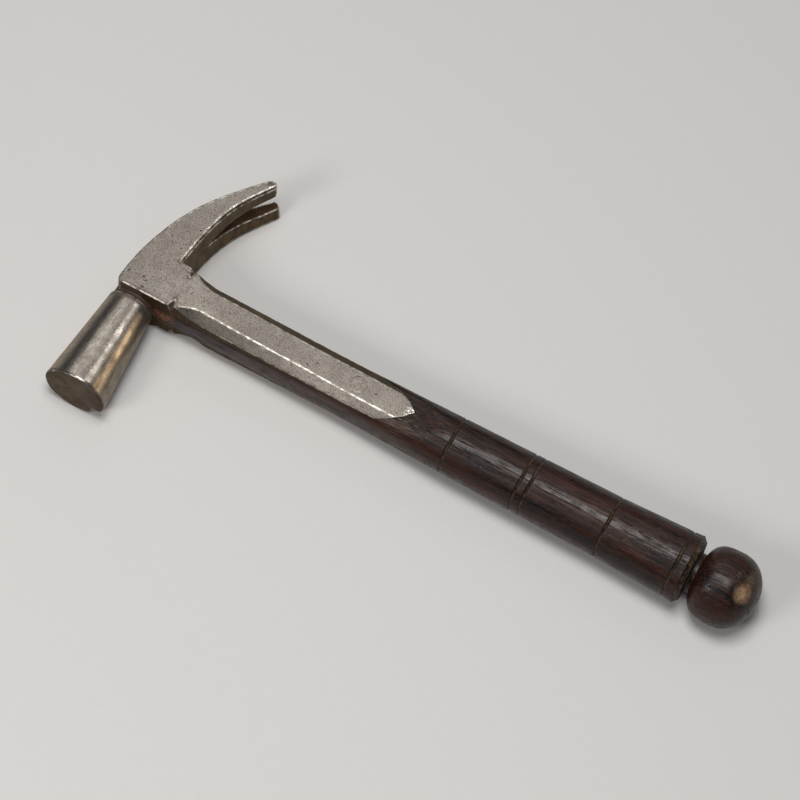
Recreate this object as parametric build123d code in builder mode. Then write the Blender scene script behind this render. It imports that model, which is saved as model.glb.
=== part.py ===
from build123d import *
import math
import os

# A small strapped claw hammer, lying on its side, in millimetres.
# It is drawn about the point where the poll's axis crosses the handle's axis:
# +X runs down the handle, +Y out along the claw, +Z up out of the top cheek.
# At the end every piece is moved together, so that the origin is the centre of
# the hammer's box, at the height of the surface that it lies on.

# ---- Driving dimensions: head ----
CHEEK_T = 10.7            # half thickness of the cheeks
CLAW_TIP_T = 11.4         # half thickness at the claw's tips, which flare a little
CHEEK_HALF_Y = 8.0        # half width of the cheek block
BLOCK_BACK_X = -6.5       # back of the block, beside the poll
BLOCK_END_X = 8.0         # where the solid block ends and the fork of straps begins

FACE_Y = -46.3            # striking face
FACE_R = 11.1
FACE_BEVEL = 0.7
POLL_ROOT_Y = -9.7
POLL_ROOT_R = 7.95
NECK_Y = -8.6             # small neck between the poll and the block
NECK_R = 7.3
POLL_BASE_Y = -5.0        # how far the poll is sunk in the block

CLAW_ROOT = (9.0, 8.3)    # underside of the claw meets the cheek here
# Outline of each claw's blunt tip: end of the underside, corner, rounded end and back.
UPPER_TIP = ((21.8, 47.7), (22.2, 48.6), (21.1, 49.8), (18.3, 48.95))
LOWER_TIP = ((22.55, 48.9), (22.85, 49.9), (21.9, 51.15), (19.7, 50.5))    # the longer one
CLAW_TOP_Y = 52.0
CLAW_FLARE_Y = 13.0       # the claw starts to flare here
SLOT_ROOT_Y = 22.4        # the V slot starts here
SLOT_TIP_HALF_Z = 4.3
SLOT_END_Y = 54.0         # past both tips
UNDERSIDE_BEVEL = 0.8
BACK_BEVEL = 0.35

# ---- Driving dimensions: straps ----
NICK_X = 13.8             # V nick filed across each long cheek edge
NICK_DEPTH = 2.4
NICK_HALF_ANGLE = 27.0
STRAP_START_X = 15.2      # just past the nick
STRAP_HALF_Y = 7.4
STRAP_TIP_X = 101.0
STRAP_TIP_Y = 0.6         # the pointed end is a little to the far side
NEAR_ARCH = ((89.5, -STRAP_HALF_Y), (95.2, -4.85))    # where each side turns in, and on its way
FAR_ARCH = ((85.0, STRAP_HALF_Y), (94.4, 4.9))
STRAP_MID_X = 60.0
STRAP_MID_Z = 8.55        # height of the strap's flat at mid length
STRAP_TIP_Z = 7.7
FORK_ROOT_Z = 3.4         # half gap between the straps at the block
FORK_TIP_Z = 5.6          # and at the straps' tips
FLAT_HALF_Y = 4.2         # half width of the flat between the two chamfers
CHAMFER_LOW_Z = ((25.0, 6.6), (STRAP_MID_X, 6.1), (STRAP_TIP_X + 2, 5.6))
LEAF_RUN = 9.8            # length of the scooped start of each chamfer
LEAF_DEPTH = 2.7

# ---- Driving dimensions: eye, wedge and rivets ----
EYE_HALF_Y = 5.2          # the eye where the handle goes in
EYE_HALF_Z = 3.1
EYE_BACK_HALF_Y = 5.8     # and flared at the back of the head
EYE_BACK_HALF_Z = 4.2
TENON_INSET = 0.15        # the tenon's end lies just below the back of the head
WEDGE_HALF_Y = 4.3
WEDGE_HALF_Z = 0.9
WEDGE_POINT_HALF_Z = 0.15
WEDGE_LENGTH = 11.0
RIVET_XS = (25.5, 53.0, 80.0)
RIVET_R = 2.0
RIVET_HEAD_R = 3.1
RIVET_SINK = 1.1          # depth of the countersink

# ---- Driving dimensions: handle ----
RINGS = (115.8, 141.8, 145.2, 173.3, 198.9)
RING_HALF = 0.45          # half width of a scribed ring
RING_DEPTH = 0.4
TURNED_START_X = 113.5
GRIP_END_X = 204.0
GRIP_END_R = 12.1
GRIP_RADII = ((TURNED_START_X, 9.8), (145.0, 10.28), (173.3, 10.68), (198.9, 11.72),
              (GRIP_END_X, GRIP_END_R))
END_CHAMFER = 1.7
BALL_NECK_R = 7.0
BALL_START_X = 205.8
BALL_X = 216.4            # widest part of the ball
BALL_R = 13.0
BALL_END_X = 227.4
STICK_RADII = ((BLOCK_END_X - 1, 8.3), (30.0, 8.6), (55.0, 9.0), (90.0, 9.5))
# The front of the stick is flattened: station along the handle, half height or half width.
STICK_HALF_Z = ((6.0, 4.0), (30.0, 4.9), (55.0, 5.7), (76.0, 6.2), (90.0, 6.7), (STRAP_TIP_X, 7.55),
                (107.0, 8.75), (112.5, 10.2))
STICK_HALF_Y = ((6.0, 7.8), (40.0, 7.85), (76.0, 8.2), (90.0, 8.75), (STRAP_TIP_X, 9.25), (112.5, 10.0))

BIG = 60.0                # reach of a cutter that passes clear of the head
REACH = 3.0               # how far a small cutter passes a surface
FORK_REACH_Y = 9.0        # the fork's cutter passes both sides of the cheeks


# ---- Shapes that several pieces share ----
def strap_top(x):
    """Height of the strap's flat: a parabola through the cheek, middle and tip."""
    a, b, c = STRAP_START_X, STRAP_MID_X, STRAP_TIP_X
    return (
        CHEEK_T * (x - b) * (x - c) / ((a - b) * (a - c))
        + STRAP_MID_Z * (x - a) * (x - c) / ((b - a) * (b - c))
        + STRAP_TIP_Z * (x - a) * (x - b) / ((c - a) * (c - b))
    )


def fork_gap(x):
    """Half gap between the straps, which are thick at the head and thin at the tip."""
    share = (x - BLOCK_END_X) / (STRAP_TIP_X - BLOCK_END_X)
    return FORK_ROOT_Z + (FORK_TIP_Z - FORK_ROOT_Z) * share


def grip_radius(x):
    """Radius of the turned grip, straight between its stations."""
    for (x0, r0), (x1, r1) in zip(GRIP_RADII, GRIP_RADII[1:]):
        if x <= x1:
            return r0 + (r1 - r0) * (x - x0) / (x1 - x0)
    return GRIP_END_R


def strap_outline():
    """Plan of a strap from its near shoulder, round its pointed end, to its far shoulder."""
    tip = (STRAP_TIP_X, STRAP_TIP_Y)
    Polyline((NICK_X, -CHEEK_HALF_Y), (STRAP_START_X, -STRAP_HALF_Y), NEAR_ARCH[0])
    ThreePointArc(*NEAR_ARCH, tip)
    ThreePointArc(tip, FAR_ARCH[1], FAR_ARCH[0])
    Polyline(FAR_ARCH[0], (STRAP_START_X, STRAP_HALF_Y), (NICK_X, CLAW_ROOT[1]))


def across(x):
    """Plane square to the handle at x, with its own x along +Y and y along +Z."""
    return Plane(origin=(x, 0, 0), x_dir=(0, 1, 0), z_dir=(1, 0, 0))


def cheek_curves(builder):
    """The curved edges that lie in the cheeks' outer faces."""
    curves = builder.edges().filter_by(GeomType.BSPLINE)
    return [e for e in curves if abs(e.center().Z) > CHEEK_T - 0.05]


def leaf_plane(side_y, side_z):
    """Plane square to a chamfer at its start, with its own y out of the chamfer."""
    x, low_z = CHAMFER_LOW_Z[0]
    rise = strap_top(x) - low_z
    run = STRAP_HALF_Y - FLAT_HALF_Y
    middle = (x, side_y * (FLAT_HALF_Y + run / 2), side_z * (low_z + rise / 2))
    along = Vector(0, side_y * run, -side_z * rise)
    out = Vector(0, side_y * rise, side_z * run)
    plane = Plane(origin=middle, x_dir=(1, 0, 0), z_dir=along)
    return plane if plane.y_dir.dot(out) > 0 else Plane(origin=middle, x_dir=(1, 0, 0), z_dir=-along)


def nick_plane(side_y, side_z):
    """Plane square to a nick at the cheek's corner, with its own y into the steel."""
    corner = (NICK_X, side_y * CHEEK_HALF_Y, side_z * CHEEK_T)
    along = Vector(0, side_y, -side_z)
    plane = Plane(origin=corner, x_dir=(1, 0, 0), z_dir=along)
    inward = Vector(0, -side_y, -side_z)
    return plane if plane.y_dir.dot(inward) > 0 else Plane(origin=corner, x_dir=(1, 0, 0), z_dir=-along)


# ---- What lies above the straps, which trims the head and the rivets ----
with BuildPart() as above_straps:
    with BuildSketch(Plane.XZ.offset(-BIG / 2)):
        for side in (1, -1):
            with BuildLine():
                curve = [(x, side * strap_top(x)) for x in (STRAP_START_X, 38.0, STRAP_MID_X, 80.0, 110.0)]
                Spline(*curve)
                Polyline(curve[-1], (110.0, side * BIG), (STRAP_START_X, side * BIG), curve[0])
            make_face()
    extrude(amount=BIG)

# ---- The fork: the gap between the two straps, which the wood fills ----
with BuildPart() as fork:
    with BuildSketch(Plane.XZ.offset(-FORK_REACH_Y)):
        with BuildLine():
            end_x = STRAP_TIP_X + REACH
            Polyline((BLOCK_END_X, -FORK_ROOT_Z), (end_x, -fork_gap(end_x)),
                     (end_x, fork_gap(end_x)), (BLOCK_END_X, FORK_ROOT_Z), close=True)
        make_face()
    extrude(amount=2 * FORK_REACH_Y)

# ---- The straps' bed: all that is not wood within the outline of the straps and block ----
with BuildPart() as bed:
    with BuildSketch(Plane.XY.offset(-BIG / 2)):
        with BuildLine():
            strap_outline()
            Polyline((NICK_X, CLAW_ROOT[1]), (BLOCK_BACK_X, CLAW_ROOT[1]),
                     (BLOCK_BACK_X, -CHEEK_HALF_Y), (NICK_X, -CHEEK_HALF_Y))
        make_face()
    extrude(amount=BIG)
    add(fork.part, mode=Mode.SUBTRACT)

# ---- The eye: straight at the handle side, flared towards the back ----
with BuildPart() as eye:
    with BuildSketch(across(BLOCK_END_X)):
        Rectangle(2 * EYE_HALF_Y, 2 * EYE_HALF_Z)
    with BuildSketch(across(BLOCK_BACK_X)):
        Rectangle(2 * EYE_BACK_HALF_Y, 2 * EYE_BACK_HALF_Z)
    loft()
    with BuildSketch(across(BLOCK_BACK_X)):
        Rectangle(2 * EYE_BACK_HALF_Y, 2 * EYE_BACK_HALF_Z)
    extrude(amount=-REACH)

# ---- Rivets before their heads are dressed flush ----
rivet_blanks = []
for rivet_x in RIVET_XS:
    with BuildPart() as blank:
        with BuildSketch(Plane.XZ):
            with BuildLine():
                surface = strap_top(rivet_x)
                half = ((0, 0), (RIVET_R, 0), (RIVET_R, surface - RIVET_SINK), (RIVET_HEAD_R, surface),
                        (RIVET_HEAD_R, surface + REACH), (0, surface + REACH))
                Polyline(*[(rivet_x + r, z) for r, z in half], close=True)
            make_face()
        revolve(axis=Axis((rivet_x, 0, 0), (0, 0, 1)))
        mirror(about=Plane.XY)
    rivet_blanks.append(blank.part)

rivets = []
for blank_part in rivet_blanks:
    with BuildPart() as rivet:
        add(blank_part)
        add(above_straps.part, mode=Mode.SUBTRACT)
    rivets.append(rivet.part)

# ---- Forging: poll, cheek block, claw and both straps, before it is drilled ----
with BuildPart() as forging:
    # Plan of the block, claw and straps.
    with BuildSketch(Plane.XY.offset(-CLAW_TIP_T)):
        with BuildLine():
            corner = (BLOCK_BACK_X + 1.2, -CHEEK_HALF_Y)
            back_start = (BLOCK_BACK_X, 1.1 - CHEEK_HALF_Y)
            Line(corner, (NICK_X, -CHEEK_HALF_Y))
            strap_outline()
            Line((NICK_X, CLAW_ROOT[1]), CLAW_ROOT)
            Spline(CLAW_ROOT, (10.6, 21.0), (14.2, 34.5), UPPER_TIP[0], LOWER_TIP[0])
            Line(LOWER_TIP[0], LOWER_TIP[1])
            ThreePointArc(*LOWER_TIP[1:])
            Spline(LOWER_TIP[3], UPPER_TIP[3], (11.2, 40.5), (5.3, 32.4), (-3.0, 14.3), back_start)
            Line(back_start, corner)
        make_face()
    extrude(amount=2 * CLAW_TIP_T)
    # Seen down the handle, the cheeks are parallel and the claw flares a little.
    with BuildSketch(across(-BIG)):
        with BuildLine():
            Polyline((-15, -CHEEK_T), (CLAW_FLARE_Y, -CHEEK_T), (CLAW_TOP_Y, -CLAW_TIP_T),
                     (CLAW_TOP_Y, CLAW_TIP_T), (CLAW_FLARE_Y, CHEEK_T), (-15, CHEEK_T), close=True)
        make_face()
    extrude(amount=4 * BIG, mode=Mode.INTERSECT)
    # Filed bevels along the claw: wide on the underside, fine on the back.
    chamfer([e for e in cheek_curves(forging) if e.center().X > CLAW_ROOT[0]], length=UNDERSIDE_BEVEL)
    chamfer([e for e in cheek_curves(forging) if e.center().X < CLAW_ROOT[0] - 1], length=BACK_BEVEL)
    # The upper claw's tip is cut back, so that the lower claw is the longer.
    with BuildSketch(Plane.XY):
        with BuildLine():
            Line(UPPER_TIP[0], UPPER_TIP[1])
            ThreePointArc(*UPPER_TIP[1:])
            Polyline(UPPER_TIP[3], (UPPER_TIP[3][0], BIG), (BIG, BIG), (BIG, UPPER_TIP[0][1]), UPPER_TIP[0])
        make_face()
    extrude(amount=BIG, mode=Mode.SUBTRACT)
    # The straps' outer faces fall away from the cheeks in a long curve.
    add(above_straps.part, mode=Mode.SUBTRACT)
    for side_y in (1, -1):
        for side_z in (1, -1):
            # A long chamfer down each edge of each strap.
            for x, low_z in CHAMFER_LOW_Z:
                with BuildSketch(across(x)):
                    top_z = strap_top(x)
                    slope = (top_z - low_z) / (STRAP_HALF_Y - FLAT_HALF_Y)
                    inner = (FLAT_HALF_Y - REACH, top_z + REACH * slope)
                    outer = (STRAP_HALF_Y + REACH, low_z - REACH * slope)
                    beyond = (STRAP_HALF_Y + REACH, inner[1])
                    with BuildLine():
                        Polyline(*[(side_y * y, side_z * z) for y, z in (inner, outer, beyond)], close=True)
                    make_face()
            loft(ruled=True, mode=Mode.SUBTRACT)
            # Each chamfer starts in a scooped leaf shape that runs out at the nick.
            with BuildSketch(leaf_plane(side_y, side_z)):
                with BuildLine():
                    ThreePointArc((-LEAF_RUN, LEAF_DEPTH), (-LEAF_RUN / 2, LEAF_DEPTH / 4), (0, 0))
                    Polyline((0, 0), (1, 0), (1, 2 * REACH), (-LEAF_RUN, 2 * REACH), (-LEAF_RUN, LEAF_DEPTH))
                make_face()
            extrude(amount=2 * REACH, both=True, mode=Mode.SUBTRACT)
            # A V nick is filed across the cheek's corner.
            with BuildSketch(nick_plane(side_y, side_z)):
                half = (NICK_DEPTH + REACH) * math.tan(math.radians(NICK_HALF_ANGLE))
                with BuildLine():
                    Polyline((0, NICK_DEPTH), (half, -REACH), (-half, -REACH), close=True)
                make_face()
            extrude(amount=2 * REACH, both=True, mode=Mode.SUBTRACT)
    add(fork.part, mode=Mode.SUBTRACT)
    # The poll, turned about the Y axis, with its small neck against the block.
    with BuildSketch(Plane.XY):
        with BuildLine():
            Polyline((0, POLL_BASE_Y), (NECK_R, POLL_BASE_Y), (NECK_R, NECK_Y))
            ThreePointArc((NECK_R, NECK_Y), (7.5, -9.25), (POLL_ROOT_R, POLL_ROOT_Y))
            Line((POLL_ROOT_R, POLL_ROOT_Y), (FACE_R, FACE_Y + FACE_BEVEL))
            ThreePointArc((FACE_R, FACE_Y + FACE_BEVEL), (FACE_R - 0.2, FACE_Y + 0.2),
                          (FACE_R - FACE_BEVEL, FACE_Y))
            Polyline((FACE_R - FACE_BEVEL, FACE_Y), (0, FACE_Y), (0, POLL_BASE_Y))
        make_face()
    revolve(axis=Axis.Y)
    # The nail slot: a V whose sides swell outwards, filed right through the claw.
    with BuildSketch(across(-BIG / 4)):
        with BuildLine():
            for side in (1, -1):
                Spline((SLOT_ROOT_Y, 0), (27.5, side * 1.15), (34.0, side * 2.85), (40.0, side * 4.0),
                       (SLOT_END_Y, side * SLOT_TIP_HALF_Z))
            Line((SLOT_END_Y, SLOT_TIP_HALF_Z), (SLOT_END_Y, -SLOT_TIP_HALF_Z))
        make_face()
    extrude(amount=BIG, mode=Mode.SUBTRACT)

# ---- Head: the forging with its eye and rivet holes ----
with BuildPart() as head:
    add(forging.part)
    add(eye.part, mode=Mode.SUBTRACT)
    for blank_part in rivet_blanks:
        add(blank_part, mode=Mode.SUBTRACT)

# ---- Iron wedge, driven into the end of the tenon ----
with BuildPart() as wedge:
    with BuildSketch(Plane.XZ.offset(-WEDGE_HALF_Y)):
        with BuildLine():
            wedge_end = BLOCK_BACK_X + 1.9
            point_x = wedge_end + WEDGE_LENGTH
            Polyline((wedge_end, -WEDGE_HALF_Z), (point_x, -WEDGE_POINT_HALF_Z),
                     (point_x, WEDGE_POINT_HALF_Z), (wedge_end, WEDGE_HALF_Z), close=True)
        make_face()
    extrude(amount=2 * WEDGE_HALF_Y)

# ---- Handle: one stick, from the tenon in the eye to the ball ----
with BuildPart() as handle:
    # The stick, its scribed rings, the grip's end and the ball, all turned together.
    with BuildSketch(Plane.XY):
        with BuildLine():
            start_x, start_r = STICK_RADII[0]
            grip_start = (TURNED_START_X, grip_radius(TURNED_START_X))
            Line((start_x, 0), (start_x, start_r))
            Spline(*STICK_RADII, grip_start)
            outline = [grip_start]
            for ring in RINGS:
                outline += [(ring - RING_HALF, grip_radius(ring - RING_HALF)),
                            (ring, grip_radius(ring) - RING_DEPTH),
                            (ring + RING_HALF, grip_radius(ring + RING_HALF))]
            outline += [(GRIP_END_X - END_CHAMFER, grip_radius(GRIP_END_X - END_CHAMFER)),
                        (GRIP_END_X, GRIP_END_R - END_CHAMFER),
                        (GRIP_END_X + 0.4, BALL_NECK_R),
                        (BALL_START_X, BALL_NECK_R)]
            Polyline(*outline)
            Spline((BALL_START_X, BALL_NECK_R), (206.5, 8.9), (208.7, 11.55), (BALL_X, BALL_R),
                   tangents=((0, 1), (1, 0)))
            Spline((BALL_X, BALL_R), (224.1, 9.55), (BALL_END_X, 0), tangents=((1, 0), (0, -1)))
            Line((BALL_END_X, 0), (start_x, 0))
        make_face()
    revolve(axis=Axis.X)
    # The front is flattened above and below, and a little at the sides.
    for plane, stations in ((Plane.XZ, STICK_HALF_Z), (Plane.XY, STICK_HALF_Y)):
        (first_x, first_half), (last_x, last_half) = stations[0], stations[-1]
        for side in (1, -1):
            with BuildSketch(plane.offset(-BIG / 2)):
                with BuildLine():
                    Spline(*[(x, side * half) for x, half in stations])
                    Polyline((last_x, side * last_half), (last_x, side * BIG), (first_x, side * BIG),
                             (first_x, side * first_half))
                make_face()
            extrude(amount=BIG, mode=Mode.SUBTRACT)
    # The straps and the block lie in it.
    add(bed.part, mode=Mode.SUBTRACT)
    # The tenon fills the eye and is cut off just below the back of the head.
    add(eye.part)
    with BuildSketch(Plane.XY.offset(-BIG / 2)):
        with BuildLine():
            Polyline((BLOCK_BACK_X + 0.1 + TENON_INSET, -EYE_BACK_HALF_Y - 0.1),
                     (BLOCK_BACK_X + 1.7 + TENON_INSET, EYE_BACK_HALF_Y + 0.1),
                     (-BIG, EYE_BACK_HALF_Y + 0.1), (-BIG, -EYE_BACK_HALF_Y - 0.1), close=True)
        make_face()
    extrude(amount=BIG, mode=Mode.SUBTRACT)
    add(wedge.part, mode=Mode.SUBTRACT)
    for blank_part in rivet_blanks:
        add(blank_part, mode=Mode.SUBTRACT)

# ---- Place the hammer about the centre of its box, lying on the ball ----
middle_x = (BALL_END_X - FACE_R) / 2
middle_y = (head.part.bounding_box().max.Y + FACE_Y) / 2
lie_down = Location((-middle_x, -middle_y, BALL_R))

os.makedirs("parts", exist_ok=True)
head.part.move(lie_down)
head.part.label = "head"
export_step(head.part, "parts/head.step")
handle.part.move(lie_down)
handle.part.label = "handle"
export_step(handle.part, "parts/handle.step")
wedge.part.move(lie_down)
wedge.part.label = "wedge"
export_step(wedge.part, "parts/wedge.step")
for number, rivet_part in enumerate(rivets, start=1):
    rivet_part.move(lie_down)
    rivet_part.label = f"rivet_{number}"
    export_step(rivet_part, f"parts/rivet_{number}.step")
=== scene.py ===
import math
import random

import bmesh
import bpy
import numpy as np
from mathutils import Matrix, Vector, kdtree, noise


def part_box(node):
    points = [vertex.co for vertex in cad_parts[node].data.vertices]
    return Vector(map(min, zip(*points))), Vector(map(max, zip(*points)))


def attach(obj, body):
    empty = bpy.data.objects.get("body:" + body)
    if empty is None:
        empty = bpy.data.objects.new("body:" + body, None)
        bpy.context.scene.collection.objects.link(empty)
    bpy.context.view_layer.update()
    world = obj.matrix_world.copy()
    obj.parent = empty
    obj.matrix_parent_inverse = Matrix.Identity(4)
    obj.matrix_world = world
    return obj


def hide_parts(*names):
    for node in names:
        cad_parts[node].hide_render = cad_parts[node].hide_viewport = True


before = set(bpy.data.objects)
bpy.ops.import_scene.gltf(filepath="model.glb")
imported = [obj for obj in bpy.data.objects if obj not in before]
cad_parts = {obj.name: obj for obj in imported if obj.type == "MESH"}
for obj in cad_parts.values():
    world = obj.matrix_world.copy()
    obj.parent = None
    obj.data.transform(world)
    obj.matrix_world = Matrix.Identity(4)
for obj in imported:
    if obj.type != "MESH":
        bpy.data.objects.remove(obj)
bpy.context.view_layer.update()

MM = 0.001

# ---------------------------------------------------------------------------
# Where things are. Shapes are drawn in millimetres about the point where the
# poll's axis crosses the handle's axis: X along the handle, Y along the claw.
# ---------------------------------------------------------------------------
FACE_R = 11.1             # radius of the striking face
FACE_Y = -46.3            # striking face
head_low, head_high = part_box("head")
handle_low, handle_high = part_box("handle")
CROSSING = Vector((head_low.x + FACE_R * MM, head_low.y - FACE_Y * MM, (head_low.z + head_high.z) / 2))
AXIS_SHIFT = np.array(CROSSING)


def place(points):
    """Points in the frame, in metres, from points in millimetres about the crossing."""
    return np.asarray(points, float) * MM + AXIS_SHIFT


def local(points):
    """The other way round: millimetres about the crossing."""
    return (np.asarray(points, float) - AXIS_SHIFT) / MM


def inside_box(points, low, high):
    """Points about the crossing, kept inside a CAD node's box."""
    return np.clip(points, local([low])[0], local([high])[0])


def new_object(name, data):
    """A new object in the scene, from a mesh, light or camera."""
    made = bpy.data.objects.new(name, data)
    bpy.context.scene.collection.objects.link(made)
    return made


# ---------------------------------------------------------------------------
# Camera, floor and lights
# ---------------------------------------------------------------------------
CAMERA_AT = (284.24, -534.39, 1173.60)
CAMERA_FORWARD = Vector((-0.1464, 0.4135, -0.8986))
CAMERA_UP = Vector((-0.4598, 0.7759, 0.4319))
CAMERA_LENS = 179.2
SENSOR = 36.0
# The hammer rests on its ball, on the longer claw's tip and on the rim of its face.
RESTS_ON = ((216.4, 0.0, -13.0), (22.3, 50.9, -11.4), (0.0, -46.0, -11.05))
FLOOR_SIZE = 6.0          # metres

WHITE = (1.0, 0.985, 0.96)
SOFT_WHITE = (1.0, 0.98, 0.95)
LAMP_YELLOW = (1.0, 0.78, 0.50)
ROOM_COLOUR = (0.80, 0.81, 0.83, 1)
ROOM_STRENGTH = 0.14


def make_camera():
    data = bpy.data.cameras.new("camera")
    data.lens = CAMERA_LENS
    data.sensor_width = SENSOR
    data.clip_start = 0.01
    camera = new_object("camera", data)
    back = -CAMERA_FORWARD.normalized()
    right = CAMERA_UP.cross(back).normalized()
    up = back.cross(right)
    turn = Matrix((right, up, back)).transposed().to_4x4()
    camera.matrix_world = Matrix.Translation(place(CAMERA_AT)) @ turn
    bpy.context.scene.camera = camera


def make_floor(material):
    """A flat floor through the three points that the hammer rests on."""
    points = [Vector(place(p)) for p in RESTS_ON]
    normal = (points[1] - points[0]).cross(points[2] - points[0]).normalized()
    if normal.z < 0:
        normal.negate()
    half = FLOOR_SIZE / 2
    corners = [(-half, -half, 0), (half, -half, 0), (half, half, 0), (-half, half, 0)]
    mesh = bpy.data.meshes.new("floor")
    mesh.from_pydata(corners, [], [(0, 1, 2, 3)])
    mesh.materials.append(material)
    floor = new_object("floor", mesh)
    tilt = Vector((0, 0, 1)).rotation_difference(normal).to_matrix().to_4x4()
    floor.matrix_world = Matrix.Translation(points[0]) @ tilt


def area_light(name, direction, distance, size, power, colour, gloss_only=False):
    """A soft rectangular light aimed at the frame's origin, in metres and watts.

    A gloss_only light shows in reflections alone.
    """
    data = bpy.data.lights.new(name, "AREA")
    data.shape = "RECTANGLE"
    data.size, data.size_y = size
    data.energy = power
    data.color = colour
    light = new_object(name, data)
    towards = Vector(direction).normalized()
    light.location = towards * distance
    light.rotation_euler = towards.to_track_quat("Z", "Y").to_euler()
    light.visible_diffuse = not gloss_only


def make_lights():
    area_light("overhead", (-0.05, -0.06, 0.99), 1.3, (0.55, 0.45), 10.0, WHITE)
    area_light("near_left", (-0.35, -0.68, 0.64), 1.2, (0.35, 0.35), 4.0, SOFT_WHITE)
    area_light("far_left", (-0.32, 0.57, 0.76), 1.2, (0.95, 0.50), 2.4, SOFT_WHITE, gloss_only=True)
    area_light("poll_strip", (0.36, 0.56, 0.75), 1.2, (0.05, 0.30), 1.6, SOFT_WHITE, gloss_only=True)
    area_light("warm_right", (0.83, 0.50, 0.24), 1.1, (0.26, 0.24), 2.3, LAMP_YELLOW, gloss_only=True)
    world = bpy.data.worlds.new("studio")
    bpy.context.scene.world = world
    world.use_nodes = True
    background = world.node_tree.nodes["Background"]
    background.inputs["Color"].default_value = ROOM_COLOUR
    background.inputs["Strength"].default_value = ROOM_STRENGTH


# ---------------------------------------------------------------------------
# Node helpers
# ---------------------------------------------------------------------------
class Nodes:
    """A material's node tree, built up by short calls."""

    def __init__(self, name):
        self.material = bpy.data.materials.new(name)
        self.material.use_nodes = True
        self.tree = self.material.node_tree
        self.shader = self.tree.nodes["Principled BSDF"]
        self.coords = self.tree.nodes.new("ShaderNodeTexCoord").outputs["Object"]

    def put(self, socket, value):
        """Links a socket's value, or sets it."""
        if isinstance(value, bpy.types.NodeSocket):
            self.tree.links.new(value, socket)
        elif hasattr(value, "__len__") and len(value) == 3 and socket.type == "RGBA":
            socket.default_value = (*value, 1)
        else:
            socket.default_value = value

    def node(self, kind, result=0, settings=None, **inputs):
        """One output of a new node. An input is named, or _0, _1 ... by its place."""
        made = self.tree.nodes.new("ShaderNode" + kind)
        for key, value in (settings or {}).items():
            setattr(made, key, value)
        for key, value in inputs.items():
            self.put(made.inputs[int(key[1:]) if key[0] == "_" else key.replace("_", " ")], value)
        return made.outputs[result]

    def stretched(self, scale):
        return self.node("Mapping", Vector=self.coords, Scale=scale)

    def noise(self, scale, detail=3.0, roughness=0.5, stretch=(1, 1, 1), distortion=0.0):
        return self.node("TexNoise", Vector=self.stretched(stretch), Scale=scale, Detail=detail,
                         Roughness=roughness, Distortion=distortion)

    def ramp(self, value, low, high, to_low=0.0, to_high=1.0):
        """value from low to high, clamped and mapped to to_low ... to_high."""
        return self.node("MapRange", settings={"clamp": True}, Value=value, _1=low, _2=high,
                         _3=to_low, _4=to_high)

    def math(self, operation, a, b=0.0):
        return self.node("Math", settings={"operation": operation}, _0=a, _1=b)

    def mix(self, share, a, b):
        """A mix of two colours; their sockets come after those for numbers and vectors."""
        made = self.tree.nodes.new("ShaderNodeMix")
        made.data_type = "RGBA"
        self.put(made.inputs[0], share)
        self.put(made.inputs[6], a)
        self.put(made.inputs[7], b)
        return made.outputs[2]

    def attribute(self, name):
        return self.node("Attribute", result=2, settings={"attribute_name": name})

    def bump(self, height, distance):
        return self.node("Bump", Height=height, Distance=distance)


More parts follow.
